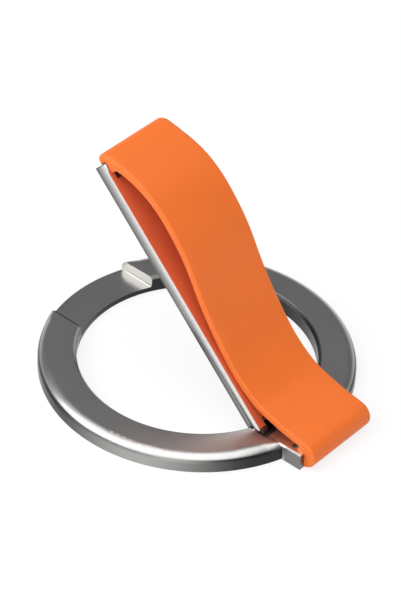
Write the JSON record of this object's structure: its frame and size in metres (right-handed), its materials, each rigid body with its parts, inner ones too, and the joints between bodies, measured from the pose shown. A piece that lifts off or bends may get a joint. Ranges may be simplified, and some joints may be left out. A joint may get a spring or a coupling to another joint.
{
  "type": "magnetic phone stand",
  "caption": "Flat magnet ring with a hinged metal arm that folds into it, and a silicone strap that bows out into a finger loop when the arm is raised.",
  "frame": {"origin": "centre of the magnet ring on its underside, the face that meets the phone", "axes": "+Z away from the phone, +X along the hinge, +Y from the hinge towards the free end of the folded arm"},
  "size_m": [0.058, 0.0625, 0.0427],
  "materials": {
    "ring_metal": "satin, die-cast and plated",
    "arm_metal": "satin, polished edges",
    "silicone": "matte, soft touch",
    "soft_pad": "matte",
    "magnet": "nickel plated",
    "dark_steel": "black oxide",
    "steel": "bright"
  },
  "bodies": {
    "ring": {"anchor_pin": "steel", "base_pad": "soft_pad", "friction_sleeve": "dark_steel", "hinge_pin": "steel", "magnet_01": "magnet", "magnet_02": "magnet", "magnet_03": "magnet", "magnet_04": "magnet", "magnet_05": "magnet", "magnet_06": "magnet", "magnet_07": "magnet", "magnet_08": "magnet", "magnet_09": "magnet", "magnet_10": "magnet", "magnet_11": "magnet", "magnet_12": "magnet", "magnet_13": "magnet", "magnet_14": "magnet", "magnet_15": "magnet", "magnet_16": "magnet", "pin_keeper_left": "steel", "pin_keeper_right": "steel", "ring_body": "ring_metal", "shunt_left": "steel", "shunt_right": "steel", "washer_left": "steel", "washer_right": "steel"},
    "arm": {"arm_plate": "arm_metal", "arm_liner": "silicone", "strap": "silicone", "clamp_bar": "dark_steel", "clamp_rivet_left": "steel", "clamp_rivet_right": "steel"}
  },
  "joints": [
    {"name": "arm_hinge", "type": "hinge", "parent": "ring", "child": "arm", "pos_m": [0, -0.02137, 0.00225], "axis": [1, 0, 0], "range_deg": [-45, 45], "deforming": ["strap"]}
  ]
}
